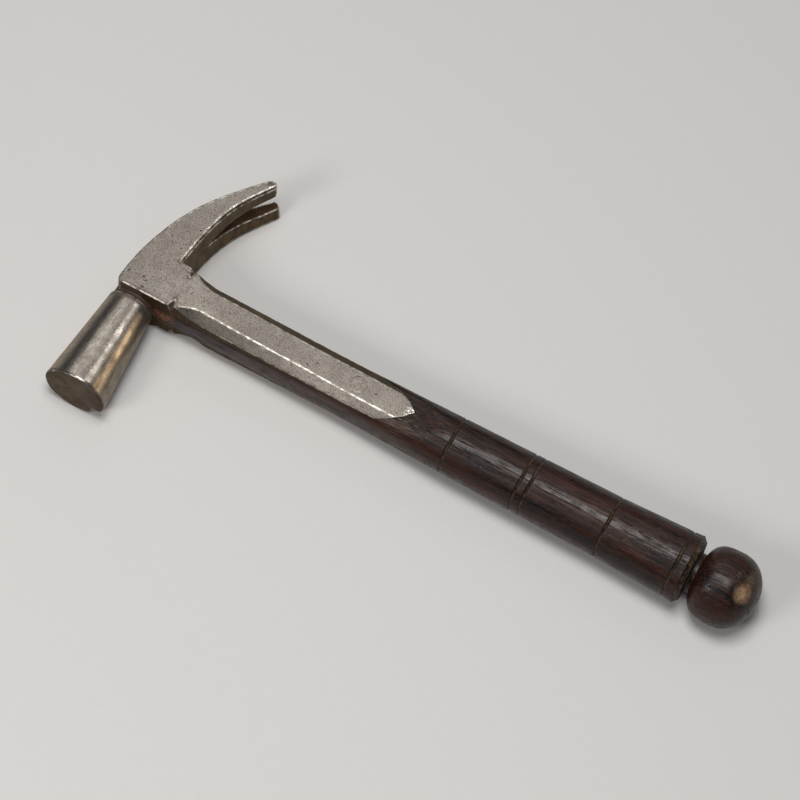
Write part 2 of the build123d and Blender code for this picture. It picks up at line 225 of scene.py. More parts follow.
# ---------------------------------------------------------------------------
# Materials
# ---------------------------------------------------------------------------
def steel_material():
    """Old forged steel: warm grey, densely speckled, with polished and rusty places."""
    n = Nodes("worn_steel")
    marks = ("edge", "hollow", "poll", "dark", "face")
    edge, hollow, poll, dark, face = (n.attribute(mark) for mark in marks)
    broad = n.noise(60, 4.0, 0.55)
    cloud = n.noise(260, 5.0, 0.65)
    speckle = n.noise(2300, 3.0, 0.7)
    grain = n.noise(5200, 2.0, 0.6)
    turned = n.noise(1500, 4.0, 0.65, stretch=(1, 0.04, 1))
    filed = n.noise(1700, 3.0, 0.65, stretch=(1, 1, 0.06))
    to_pit = n.node("TexVoronoi", result="Distance", Vector=n.coords, Scale=480.0, Randomness=1.0)
    pit_field = n.ramp(n.noise(95, 3.0, 0.6), 0.52, 0.64)
    pit = n.math("MULTIPLY", n.ramp(to_pit, 0.24, 0.12), pit_field)

    # Plain steel, from broad shades down to dark specks, bright grains and black pits.
    colour = n.mix(n.ramp(broad, 0.35, 0.65), (0.190, 0.168, 0.147), (0.270, 0.244, 0.217))
    colour = n.mix(n.ramp(cloud, 0.40, 0.66, 0.0, 0.65), colour, (0.185, 0.163, 0.142))
    colour = n.mix(n.ramp(speckle, 0.50, 0.62, 0.0, 0.88), colour, (0.062, 0.049, 0.039))
    colour = n.mix(n.ramp(grain, 0.54, 0.68, 0.0, 0.65), colour, (0.46, 0.43, 0.39))
    colour = n.mix(n.math("MULTIPLY", pit, 0.85), colour, (0.045, 0.033, 0.026))

    # The poll is brighter, turned and polished along its length; its face is dark.
    polished = n.mix(n.ramp(turned, 0.35, 0.65), (0.27, 0.242, 0.210), (0.47, 0.435, 0.395))
    polished = n.mix(n.ramp(cloud, 0.42, 0.62, 0.0, 0.6), polished, (0.20, 0.172, 0.142))
    polished = n.mix(n.ramp(speckle, 0.52, 0.63, 0.0, 0.55), polished, (0.075, 0.060, 0.048))
    colour = n.mix(n.math("MULTIPLY", poll, 0.85), colour, polished)
    struck = n.mix(n.ramp(cloud, 0.36, 0.62), (0.085, 0.072, 0.062), (0.045, 0.036, 0.030))
    colour = n.mix(face, colour, struck)

    # Olive patina where no hand rubs, partly painted shade and reflection; rust and grime in the corners,
    # partly painted shade by the poll's root; bright metal on the edges, partly a painted highlight.
    patina_and_shade_colour = n.mix(n.ramp(filed, 0.35, 0.65), (0.030, 0.019, 0.008), (0.110, 0.072, 0.030))
    patina_and_shade_colour = n.mix(n.ramp(cloud, 0.44, 0.64, 0.0, 0.8), patina_and_shade_colour, (0.030, 0.021, 0.013))
    colour = n.mix(dark, colour, patina_and_shade_colour)
    # Rust-brown grime; round the poll's root, by the block and in the slot it is partly painted shade.
    rust_and_shade_colour = n.mix(n.ramp(speckle, 0.40, 0.62), (0.018, 0.010, 0.007), (0.090, 0.033, 0.011))
    grime_and_shade_mask = n.math("MULTIPLY", hollow, n.ramp(cloud, 0.30, 0.6, 0.7, 1.0))
    colour = n.mix(grime_and_shade_mask, colour, rust_and_shade_colour)
    # Worn edges turn to bright metal; along the cheek by the poll and along the claw this is partly a
    # painted highlight.
    worn = n.math("MULTIPLY", edge, n.ramp(n.noise(420, 4.0, 0.65), 0.44, 0.60, 0.10, 1.0))
    colour = n.mix(n.math("MULTIPLY", worn, 0.75), colour, (0.66, 0.63, 0.585))
    n.put(n.shader.inputs["Base Color"], colour)

    dull = n.math("MAXIMUM", n.math("MULTIPLY", grime_and_shade_mask, 0.75), n.math("MULTIPLY", dark, 0.35))
    n.put(n.shader.inputs["Metallic"], n.math("SUBTRACT", 1.0, dull))
    rough = n.ramp(cloud, 0.3, 0.7, 0.40, 0.52)
    rough = n.math("SUBTRACT", rough, n.math("MULTIPLY", poll, 0.17))
    rough = n.math("ADD", rough, n.math("MULTIPLY", n.math("MAXIMUM", pit, grime_and_shade_mask), 0.3))
    rough = n.math("SUBTRACT", rough, n.math("MULTIPLY", worn, 0.12))
    n.put(n.shader.inputs["Roughness"], rough)
    n.shader.inputs["Specular Tint"].default_value = (0.87, 0.76, 0.64, 1)

    relief = n.math("MULTIPLY", speckle, -0.55)
    relief = n.math("ADD", relief, n.math("MULTIPLY", cloud, 0.5))
    relief = n.math("SUBTRACT", relief, pit)
    relief = n.math("ADD", relief, n.math("MULTIPLY", n.math("MULTIPLY", turned, poll), 0.35))
    relief = n.math("ADD", relief, n.math("MULTIPLY", n.math("MULTIPLY", filed, dark), 0.5))
    n.put(n.shader.inputs["Normal"], n.bump(relief, 0.00007))
    return n.material


def wood_material():
    """Very dark red-brown rosewood: fine streaks and pores along it, under an old thin polish."""
    n = Nodes("rosewood")
    marks = ("groove", "bare", "worn", "rusty", "crack")
    groove, bare, worn, rusty, crack = (n.attribute(mark) for mark in marks)
    broad = n.noise(120, 4.0, 0.6, stretch=(0.10, 1, 1))
    streaks = n.noise(800, 5.0, 0.7, stretch=(0.040, 1, 1), distortion=0.25)
    fine = n.noise(3000, 3.0, 0.65, stretch=(0.045, 1, 1))
    pores = n.noise(2100, 2.0, 0.6, stretch=(0.030, 1, 1))
    mottle = n.noise(55, 3.0, 0.6, stretch=(0.5, 1, 1))
    pore = n.ramp(pores, 0.56, 0.63)

    # Clean wood: broad shades, red and black streaks, dark patches and pores.
    colour = n.mix(n.ramp(broad, 0.36, 0.64), (0.0045, 0.0018, 0.0013), (0.030, 0.0068, 0.0026))
    colour = n.mix(n.ramp(streaks, 0.50, 0.66, 0.0, 0.75), colour, (0.072, 0.0175, 0.0060))
    colour = n.mix(n.ramp(streaks, 0.46, 0.34, 0.0, 0.80), colour, (0.0035, 0.0020, 0.0018))
    colour = n.mix(n.ramp(fine, 0.58, 0.72, 0.0, 0.50), colour, (0.095, 0.0260, 0.0090))
    colour = n.mix(n.ramp(mottle, 0.45, 0.70, 0.0, 0.45), colour, (0.0045, 0.0024, 0.0020))
    colour = n.mix(n.math("MULTIPLY", pore, 0.85), colour, (0.0022, 0.0013, 0.0010))

    # Pale splinters where the wood is bare.
    pale = n.mix(n.ramp(fine, 0.4, 0.6), (0.10, 0.062, 0.042), (0.26, 0.185, 0.140))
    splinters = n.noise(1900, 4.0, 0.65, stretch=(0.06, 1, 1))
    splinter = n.math("MULTIPLY", bare, n.ramp(splinters, 0.52, 0.62))
    colour = n.mix(n.math("MULTIPLY", splinter, 0.75), colour, pale)

    # The scribed rings are black at their sides, with a line of tan dust at the bottom.
    blackened = n.math("MAXIMUM", n.ramp(groove, 0.0, 0.3, 0.0, 0.85), crack)
    colour = n.mix(blackened, colour, (0.0045, 0.0025, 0.0020))
    tan = n.mix(n.ramp(n.noise(900, 3.0), 0.35, 0.65), (0.045, 0.024, 0.011), (0.20, 0.125, 0.062))
    line = n.math("MULTIPLY", n.ramp(groove, 0.50, 0.85), n.ramp(n.noise(260, 3.0), 0.40, 0.55, 0.35, 0.9))
    colour = n.mix(line, colour, tan)

    # Rust stains by the head, and a pale rubbed place on the ball.
    stain = n.mix(n.ramp(n.noise(700, 4.0), 0.35, 0.65), (0.045, 0.016, 0.006), (0.26, 0.095, 0.028))
    colour = n.mix(rusty, colour, stain)
    rubbed = n.mix(n.ramp(fine, 0.35, 0.65), (0.28, 0.155, 0.085), (0.55, 0.36, 0.22))
    colour = n.mix(worn, colour, rubbed)
    n.put(n.shader.inputs["Base Color"], colour)

    rough = n.ramp(streaks, 0.35, 0.7, 0.24, 0.38)
    rough = n.math("ADD", rough, n.math("MULTIPLY", n.ramp(n.noise(300, 4.0, 0.6), 0.45, 0.7), 0.18))
    rough = n.math("ADD", rough, n.math("MULTIPLY", n.math("MAXIMUM", groove, splinter), 0.3))
    rough = n.math("ADD", rough, n.math("MULTIPLY", pore, 0.25))
    n.put(n.shader.inputs["Roughness"], rough)
    n.shader.inputs["IOR"].default_value = 1.42
    n.shader.inputs["Specular IOR Level"].default_value = 0.40

    relief = n.math("ADD", n.math("MULTIPLY", streaks, 0.35), n.math("MULTIPLY", fine, 0.30))
    relief = n.math("SUBTRACT", relief, n.math("MULTIPLY", pore, 0.55))
    relief = n.math("ADD", relief, n.math("MULTIPLY", n.noise(420, 4.0, 0.6), 0.40))
    n.put(n.shader.inputs["Normal"], n.bump(relief, 0.00015))
    return n.material


def iron_material():
    """Rusted wrought iron, for the wedge."""
    n = Nodes("rusted_iron")
    fine = n.noise(1100, 4.0, 0.65)
    colour = n.mix(n.ramp(fine, 0.35, 0.65), (0.030, 0.018, 0.012), (0.15, 0.070, 0.034))
    n.put(n.shader.inputs["Base Color"], colour)
    n.shader.inputs["Metallic"].default_value = 0.55
    n.put(n.shader.inputs["Roughness"], n.ramp(fine, 0.3, 0.7, 0.5, 0.8))
    n.put(n.shader.inputs["Normal"], n.bump(fine, 0.0001))
    return n.material


def floor_material():
    n = Nodes("pale_floor")
    n.put(n.shader.inputs["Base Color"], (0.70, 0.69, 0.68))
    n.put(n.shader.inputs["Roughness"], n.ramp(n.noise(300, 3.0), 0.3, 0.7, 0.55, 0.62))
    n.put(n.shader.inputs["Normal"], n.bump(n.noise(900, 2.0), 0.00006))
    return n.material


# ---------------------------------------------------------------------------
# Mesh helpers
# ---------------------------------------------------------------------------
WEIGHT_STEPS = 20                 # how finely smoothing weights are told apart
SHARP_ANGLE = math.radians(22)    # CAD faces that meet at more than this make a sharp edge
SHARP_SPACING = 0.3               # points along a sharp edge
SURFACE_WAVE = (0.035, 9.0)       # hand-filed faces are never quite flat: height and size of the waves


def coordinates(mesh):
    co = np.empty(len(mesh.vertices) * 3)
    mesh.vertices.foreach_get("co", co)
    return co.reshape(-1, 3)


def normals(mesh):
    out = np.empty(len(mesh.vertices) * 3)
    mesh.vertices.foreach_get("normal", out)
    return out.reshape(-1, 3)


def move_to(mesh, points):
    mesh.vertices.foreach_set("co", np.asarray(points, np.float32).ravel())
    mesh.update()


def set_attribute(mesh, name, values):
    made = mesh.attributes.new(name, "FLOAT", "POINT")
    made.data.foreach_set("value", np.asarray(values, np.float32))


def smoothstep(value, low, high):
    t = np.clip((value - low) / (high - low), 0, 1)
    return t * t * (3 - 2 * t)


def noise_at(points, scale, octaves=3, stretch=(1, 1, 1)):
    """Smooth noise from about -1 to 1 at points in millimetres; scale is its size in millimetres."""
    scaled = np.asarray(points) * np.array(stretch) / scale
    return np.array([noise.fractal(Vector(p), 1.0, 2.0, octaves) for p in scaled])


def surface_wave(points):
    height, size = SURFACE_WAVE
    return height * noise_at(points, size, 2)


def search_tree(points):
    tree = kdtree.KDTree(len(points))
    for i, point in enumerate(points):
        tree.insert(point, i)
    tree.balance()
    return tree


def distances(points, targets):
    """Distance in millimetres from each point to the nearest target."""
    tree = search_tree(targets)
    return np.array([tree.find(p)[2] for p in points]) / MM


def apply_modifiers(piece):
    """Bakes a piece's modifiers into its mesh."""
    graph = bpy.context.evaluated_depsgraph_get()
    mesh = bpy.data.meshes.new_from_object(piece.evaluated_get(graph))
    piece.modifiers.clear()
    old = piece.data
    piece.data = mesh
    bpy.data.meshes.remove(old)


def smooth(piece, weights, repeats):
    """Smooths a piece's mesh by a weight from 0 to 1 at each vertex."""
    group = piece.vertex_groups.new(name="smooth")
    steps = np.round(np.clip(weights, 0, 1) * WEIGHT_STEPS).astype(int)
    for step in range(1, WEIGHT_STEPS + 1):
        members = np.nonzero(steps == step)[0]
        if len(members):
            group.add(members.tolist(), step / WEIGHT_STEPS, "REPLACE")
    modifier = piece.modifiers.new("smooth", "SMOOTH")
    modifier.vertex_group = "smooth"
    modifier.iterations = repeats
    apply_modifiers(piece)
    piece.vertex_groups.clear()


def sharp_lines(source):
    """Points along a CAD node's sharp edges: those that stand out, and those in inside corners."""
    work = bmesh.new()
    work.from_mesh(source.data)
    bmesh.ops.remove_doubles(work, verts=work.verts, dist=1e-6)
    out, inside = [], []
    for edge in work.edges:
        if len(edge.link_faces) != 2 or edge.calc_face_angle() < SHARP_ANGLE:
            continue
        a, b = edge.verts[0].co, edge.verts[1].co
        count = max(int((b - a).length / (SHARP_SPACING * MM)), 1)
        line = [a.lerp(b, (i + 0.5) / count) for i in range(count)]
        (out if edge.is_convex else inside).extend(line)
    work.free()
    return out, inside


def closed_stack(name, rings):
    """A closed mesh from a stack of rings with equally many points."""
    points = np.concatenate(rings)
    count = len(rings[0])
    faces = []
    for i in range(len(rings) - 1):
        for j in range(count):
            k = (j + 1) % count
            faces.append((i * count + j, i * count + k, (i + 1) * count + k, (i + 1) * count + j))
    faces.append(tuple(range(count))[::-1])
    faces.append(tuple((len(rings) - 1) * count + j for j in range(count)))
    mesh = bpy.data.meshes.new(name)
    mesh.from_pydata([tuple(p) for p in place(points)], [], faces)
    work = bmesh.new()
    work.from_mesh(mesh)
    bmesh.ops.recalc_face_normals(work, faces=work.faces)
    work.to_mesh(mesh)
    work.free()
    return mesh


# ---------------------------------------------------------------------------
# Straps: the shape that the head, the rivets and the wood share
# ---------------------------------------------------------------------------
STRAP_HALF_Y = 7.4
STRAP_TIP = (101.0, 0.6)          # the pointed end is a little to the far side
NEAR_ARCH = ((89.5, -STRAP_HALF_Y), (95.2, -4.85), STRAP_TIP)
FAR_ARCH = ((85.0, STRAP_HALF_Y), (94.4, 4.9), STRAP_TIP)
STRAP_TOP = ((15.2, 10.7), (60.0, 8.55), (STRAP_TIP[0], 7.7))     # height of the flat along the strap
BLOCK_END_X = 8.0
FORK_Z = ((BLOCK_END_X, 3.4), (STRAP_TIP[0], 5.6))                # half gap between the straps


def interpolate(table, x):
    xs, values = zip(*table)
    return np.interp(x, xs, values)


def strap_top(x):
    """Height of the strap's flat: a parabola through its three stations."""
    (a, at_a), (b, at_b), (c, at_c) = STRAP_TOP
    return (
        at_a * (x - b) * (x - c) / ((a - b) * (a - c))
        + at_b * (x - a) * (x - c) / ((b - a) * (b - c))
        + at_c * (x - a) * (x - b) / ((c - a) * (c - b))
    )


def arc_y(through, x):
    """Height y at x on the round arc through three points."""
    (ax, ay), (bx, by), (cx, cy) = through
    twice = 2 * (ax * (by - cy) + bx * (cy - ay) + cx * (ay - by))
    squares = [px * px + py * py for px, py in through]
    centre_x = (squares[0] * (by - cy) + squares[1] * (cy - ay) + squares[2] * (ay - by)) / twice
    centre_y = (squares[0] * (cx - bx) + squares[1] * (ax - cx) + squares[2] * (bx - ax)) / twice
    radius = math.hypot(ax - centre_x, ay - centre_y)
    rise = math.sqrt(max(radius ** 2 - (x - centre_x) ** 2, 0))
    return centre_y + math.copysign(rise, by - centre_y)


def strap_sides(x):
    """Near and far edge of a strap at x; they meet at its pointed end."""
    if x >= STRAP_TIP[0]:
        return STRAP_TIP[1], STRAP_TIP[1]
    near = arc_y(NEAR_ARCH, x) if x > NEAR_ARCH[0][0] else -STRAP_HALF_Y
    far = arc_y(FAR_ARCH, x) if x > FAR_ARCH[0][0] else STRAP_HALF_Y
    return near, far


# ---------------------------------------------------------------------------
# Rivets: flush heads on both straps, joined by a shank through the wood
# ---------------------------------------------------------------------------
# Each rivet's place along the handle, and how far its heads stand proud of the straps.
RIVETS = {"rivet_1": (25.5, 0.018), "rivet_2": (53.0, 0.018), "rivet_3": (80.0, 0.060)}
RIVET_R = 2.0
RIVET_HEAD_R = 3.05
RIVET_SINK = 1.1
AROUND = 96
RIVET_SHARP_ANGLE = math.radians(30)      # faces that meet at more than this are shaded sharp


def rings_of_rivet(x, profile, side):
    """Rings about a rivet's axis; the profile gives their radius and height over the strap's flat."""
    turns = np.linspace(0, 2 * math.pi, AROUND, endpoint=False)
    for radius, height in profile:
        ring_x = x + radius * np.cos(turns)
        yield np.stack([ring_x, radius * np.sin(turns), side * (strap_top(ring_x) + height)], 1)


def rivet_profile(proud):
    """From the middle of the head, over its worn rim and down its countersink to the shank."""
    flat = [(radius, proud) for radius in (0.3, 0.9, 1.6, 2.3)]
    rim = [(2.75, proud * 0.8), (2.95, proud * 0.2), (RIVET_HEAD_R, -0.06), (RIVET_HEAD_R - 0.1, -0.25)]
    return flat + rim + [(RIVET_R, -RIVET_SINK)]


def make_rivet(name, material):
    x, proud = RIVETS[name]
    halves = []
    for side in (1, -1):
        half = list(rings_of_rivet(x, rivet_profile(proud), side))
        for ring in half:
            ring[:, 2] += side * surface_wave(ring)
        halves.append(half)
    upper, lower = halves
    piece = new_object(name + "_flush", closed_stack(name + "_flush", upper + lower[::-1]))
    piece.data.materials.append(material)
    piece.data.shade_smooth()
    piece.data.set_sharp_from_angle(angle=RIVET_SHARP_ANGLE)
    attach(piece, "root")
    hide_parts(name)


# ---------------------------------------------------------------------------
# Head: the forging, with its edges worn round, dents and a chipped strap tip
# ---------------------------------------------------------------------------
POLL_ROOT = (-9.7, 7.95)          # where the poll's taper starts, and its radius there
FACE_BEVEL = 0.7
TORN_TIP = (99.4, -0.5)           # bright torn steel at the strap's end
HOLE_R = 3.16                     # just wider than a rivet's countersink
HOLE_CLEAR_R = 3.6                # edges nearer to a rivet than this belong to its hole
VOXEL = 0.28
HEAD_TRIANGLES = 190000
DENTS = 110
DENT_SIZE = (0.5, 1.3)
DENT_DEPTH = (0.01, 0.05)
BRUISE_DEPTH = 0.13               # of the worn edges
CHIP_DEPTH = 0.34                 # of the straps' tips
CLAW_LEAN = 0.9                   # how far the lower claw's tip leans out
WORN_IN_DEPTH = 1.15              # of the block's lower near edge


def filled_head():
    """The CAD head with its rivet holes filled, as one object to remesh and to wrap."""
    work = bmesh.new()
    work.from_mesh(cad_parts["head"].data)
    for x, _ in RIVETS.values():
        depth = strap_top(x) - interpolate(FORK_Z, x) - 0.4
        plug = [(radius, 0) for radius in (0.4, 1.2, 2.0, 2.8, HOLE_R)] + [(HOLE_R, -depth)]
        for side in (1, -1):
            mesh = closed_stack("plug", list(rings_of_rivet(x, plug, side)))
            work.from_mesh(mesh)
            bpy.data.meshes.remove(mesh)
    mesh = bpy.data.meshes.new("filled")
    work.to_mesh(mesh)
    work.free()
    return new_object("filled", mesh)


def remeshed_head():
    """An even, fine mesh that lies on the filled CAD head."""
    filled = filled_head()
    piece = new_object("forged_head", filled.data.copy())
    remesh = piece.modifiers.new("remesh", "REMESH")
    remesh.mode = "VOXEL"
    remesh.voxel_size = VOXEL * MM
    wrap = piece.modifiers.new("wrap", "SHRINKWRAP")
    wrap.target = filled
    wrap.wrap_method = "NEAREST_SURFACEPOINT"
    apply_modifiers(piece)
    bpy.data.objects.remove(filled)
    return piece


def away_from_rivets(line):
    """Those points of a line that aren't round a rivet."""
    kept = []
    for point in line:
        x, y, _ = local([point])[0]
        if min(math.hypot(x - rivet_x, y) for rivet_x, _ in RIVETS.values()) > HOLE_CLEAR_R:
            kept.append(point)
    return kept


def turn_poll(points):
    """Moves the poll's side onto a true cone, in place, because it is turned."""
    x, y, z = points.T
    radius = np.hypot(x, z)
    root_y, root_r = POLL_ROOT
    cone = root_r + (FACE_R - root_r) * (root_y - y) / (root_y - FACE_Y - FACE_BEVEL)
    on_cone = (y < root_y - 0.4) & (y > FACE_Y + FACE_BEVEL + 0.3) & (np.abs(radius - cone) < 0.4)
    points[on_cone, 0] *= cone[on_cone] / radius[on_cone]
    points[on_cone, 2] *= cone[on_cone] / radius[on_cone]


def wear_head(points, directions, to_out):
    """Adds, in place, waves, bruised edges, small dents and the chipped tips of the straps."""
    points += directions * surface_wave(points)[:, None]
    bruise = (1 - smoothstep(to_out, 0.0, 0.9)) * np.clip(noise_at(points, 1.6, 2), 0, 1)
    points -= directions * (BRUISE_DEPTH * bruise)[:, None]
    chance = random.Random(11)
    tree = search_tree(points)
    for _ in range(DENTS):
        centre = points[chance.randrange(len(points))].copy()
        size = chance.uniform(*DENT_SIZE)
        depth = chance.uniform(*DENT_DEPTH)
        for _, i, distance in tree.find_range(Vector(centre), size):
            points[i] -= directions[i] * depth * (1 - (distance / size) ** 2) ** 2
    to_tip = np.hypot(points[:, 0] - STRAP_TIP[0], points[:, 1] - STRAP_TIP[1])
    chip = (1 - smoothstep(to_tip, 1.5, 5.0)) * np.abs(noise_at(points, 1.1, 3))
    points -= directions * (CHIP_DEPTH * chip)[:, None]


def bend_head(points):
    """In place, leans the lower claw out a little and wears in the lower near edge of the block."""
    x, y, z = points.T
    points[:, 0] += CLAW_LEAN * smoothstep(y, 18, 44) * np.clip((-z - 4) / 7.4, 0, 1)
    worn_in = smoothstep(-z, 4.5, 6.5) * smoothstep(-y, 3.5, 7.4) * smoothstep(x, 5.0, 9.0)
    points[:, 1] += WORN_IN_DEPTH * worn_in * (1 - smoothstep(x, 20, 28))


def mark_head(mesh, points, directions, to_out, to_inside):
    """Says where each kind of steel is, and where shade and highlights are painted, for the material.

    The numbers are places in millimetres about the crossing, and parts of the surface's normal.
    """
    x, y, z = points.T
    facing_x, facing_y, facing_z = directions.T
    past_root = smoothstep(x, 4.0, 6.0) * (1 - smoothstep(x, 22, 32))
    near_root = past_root * smoothstep(-y, 5.0, 6.8) * (z < 8.6)
    in_slot = smoothstep(y, 20.0, 23.0) * (np.abs(z) < 5.4) * smoothstep(np.abs(facing_z), 0.5, 0.8)

    # Worn edges are bright, and so is the torn tip. Along the cheek's edge by the poll and along the claw
    # they are made brighter still as a painted highlight; on the near side by the block they are dimmed as
    # painted shade.
    bright = 1 - smoothstep(to_out, 0.08, 0.50)
    cheek_edge_highlight = smoothstep(-y, 7.2, 7.8) * smoothstep(z, 9.9, 10.4) * (x < 14)
    claw_edge_highlight = smoothstep(y, 9, 13)
    bright = bright * (1 + 1.5 * np.maximum(cheek_edge_highlight, claw_edge_highlight))
    to_torn = np.hypot(x - TORN_TIP[0], y - TORN_TIP[1])
    torn = (1 - smoothstep(to_torn, 1.4, 2.4)) * smoothstep(noise_at(points, 0.8, 2), -0.4, 0.0)
    set_attribute(mesh, "edge", np.maximum(bright, 4 * torn) * (1 - 0.9 * near_root))

    # Rust-brown grime lies in the corners. In the slot, round the poll's root and on the near side by the
    # block the same colour is partly painted shade, under the overhanging cheeks and claws.
    corners = 0.95 * (1 - smoothstep(to_inside, 0.1, 1.5))
    poll_root = smoothstep(y, -12.0, -9.2) * smoothstep(-y, 6.5, 8.5) * 0.85
    grime_and_shade_mask = np.maximum.reduce([corners, poll_root, near_root * 0.25, in_slot * 0.6])
    set_attribute(mesh, "hollow", np.clip(grime_and_shade_mask, 0, 1))

    # The poll's side is polished, up to the rim of the dark face.
    poll_side = smoothstep(-y, 9.5, 12.0) * (1 - smoothstep(-y, -FACE_Y - 0.5, -FACE_Y - 0.1))
    set_attribute(mesh, "poll", poll_side)
    set_attribute(mesh, "face", smoothstep(-y, -FACE_Y - 0.35, -FACE_Y - 0.05) * 0.85)

    # Olive patina lies where no hand rubs and on the claws' tips. On the claw's underside, in the slot,
    # inside the fork, on the side walls by the straps and on the far chamfer the olive colour is partly
    # patina and partly painted shade and reflection, for faces turned from the light.
    under_claw = smoothstep(y, 8.6, 10.0) * smoothstep(facing_x, 0.35, 0.6)
    inner = (x > BLOCK_END_X) * (np.abs(z) < 7.0) * smoothstep(-facing_z * np.sign(z), 0.5, 0.9)
    by_straps = (x > 3) * (1 - smoothstep(x, 60, 78)) * (np.abs(y) < 9)
    walls = smoothstep(np.abs(facing_y), 0.75, 0.95) * by_straps
    far_chamfer = smoothstep(facing_y, 0.35, 0.6) * smoothstep(x, 14, 18) * (np.abs(y) < 8) * 0.85
    tips = smoothstep(y, 47.0, 48.5) * 0.8
    dark = np.maximum.reduce([under_claw, in_slot, inner, walls, far_chamfer, tips])
    set_attribute(mesh, "dark", np.clip(dark, 0, 1))


def make_head(material):
    piece = remeshed_head()
    out, inside = (away_from_rivets(line) for line in sharp_lines(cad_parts["head"]))
    points = coordinates(piece.data)
    to_out, to_inside = distances(points, out), distances(points, inside)
    # The faces are ironed out away from the edges; then the edges are worn round.
    smooth(piece, smoothstep(np.minimum(to_out, to_inside), 0.35, 1.1), repeats=30)
    smooth(piece, 1 - smoothstep(to_out, 0.25, 0.7), repeats=4)
    points = local(coordinates(piece.data))
    directions = normals(piece.data)
    turn_poll(points)
    wear_head(points, directions, to_out)
    bend_head(points)
    points = inside_box(points, head_low, head_high)
    mesh = piece.data
    move_to(mesh, place(points))
    mark_head(mesh, points, directions, to_out, to_inside)
    mesh.materials.clear()
    mesh.materials.append(material)
    mesh.shade_smooth()
    thin = piece.modifiers.new("thin", "DECIMATE")
    triangles = sum(len(p.vertices) - 2 for p in mesh.polygons)
    thin.ratio = min(1.0, HEAD_TRIANGLES / triangles)
    apply_modifiers(piece)
    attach(piece, "root")
    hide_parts("head")


# ---------------------------------------------------------------------------
# Handle: one stick, drawn as rings of points from the tenon to the ball
# ---------------------------------------------------------------------------
BLOCK_BACK_X = -6.5
EYE_BACK = (5.8, 4.2)             # half width and half height of the eye at the back
EYE_FRONT = (5.2, 3.1)
BACK_SLANT = (1.6, 11.8)          # how far the back of the block slopes forward, and over what width
HALF_Z = ((6.0, 4.0), (30.0, 4.9), (55.0, 5.7), (76.0, 6.2), (90.0, 6.7), (101.0, 7.55), (107.0, 8.75),
          (112.5, 10.2), (118.0, 14.0))
HALF_Y = ((6.0, 7.8), (40.0, 7.85), (76.0, 8.2), (90.0, 8.75), (101.0, 9.25), (112.5, 10.0), (118.0, 14.0))
ROUND_R = ((7.0, 8.3), (30.0, 8.6), (55.0, 9.0), (90.0, 9.5), (113.5, 9.8), (145.0, 10.28), (173.3, 10.68),
           (198.9, 11.72), (204.0, 12.1))
FULLNESS = 22.0                   # how crisply the flats meet the round
RINGS = (115.8, 141.8, 145.2, 173.3, 198.9)
RING_HALF = 0.5
RING_DEPTH = 0.38
FLATS_END_X = RINGS[0] - 1
GRIP_END_X = 204.0
GRIP_END_R = 12.1
END_CHAMFER = 1.7
BALL_NECK_R = 7.0
BALL_X = 216.4
BALL_R = 13.0
BALL_SIDES = ((10.9, 3.3), (10.98, 2.1))     # length and fullness: neck side, end side
SIDE_STEPS, WALL_STEPS, FLOOR_STEPS = 26, 2, 16
UPPER = 2 * SIDE_STEPS + 2 * WALL_STEPS + FLOOR_STEPS - 1     # points from side to side over the top
TENON_ROWS = 12
STEP_X = 0.45
TIP_STEP_X = 0.2
PINCH = 0.004                                # angle that the strap's bed closes up to at its tip
SPREAD_LENGTH = 9.0                          # the points spread out evenly over this length past the tip
NECK_SIDE_STEPS, END_SIDE_STEPS = 34, 38     # rings on the ball's two sides
POLE_R = 0.03                                # the ball's last ring, before the face that closes it
SPLINTER_DEPTH = 0.14
CRACK_DEPTH = 0.20
HANDLE_DENTS = 120
HANDLE_DENT_X = (108, 226)
HANDLE_DENT_R = 10.5                         # their distance from the axis
HANDLE_DENT_SIZE = (0.5, 1.5)
HANDLE_DENT_DEPTH = (0.02, 0.08)
WOOD_SHARP_ANGLE = math.radians(42)
WORN_SPOT = ((222.8, -3.7, 10.7), 3.3)       # a pale rubbed place on the ball
SPLIT_WOOD = (99.0, -4.5, 7.0)               # the middle of the splintered wood by the strap's end
BALL_CRACK = ((215.8, -7.1), (221.3, -6.9), (226.0, -5.2))      # seen from above


def smooth_table(table, x, reach):
    """A table's value with its corners rounded over a few millimetres."""
    steps = np.linspace(-reach, reach, 7)
    weights = np.array([1, 2, 3, 4, 3, 2, 1])
    return float((interpolate(table, x + steps) * weights).sum() / weights.sum())


def outer_points(x, angle):
    """The stick's surface at some angles: round at the grip, and before it flattened on four sides."""
    if x > FLATS_END_X:
        radius = smooth_table(ROUND_R, x, 1.0)
    else:
        parts = np.array([
            np.full_like(angle, 1 / smooth_table(ROUND_R, x, 3.0)),
            np.abs(np.sin(angle)) / smooth_table(HALF_Z, x, 3.0),
            np.abs(np.cos(angle)) / smooth_table(HALF_Y, x, 3.0),
        ])
        radius = (parts ** FULLNESS).sum(0) ** (-1 / FULLNESS)
    return np.stack([radius * np.cos(angle), radius * np.sin(angle)], 1)


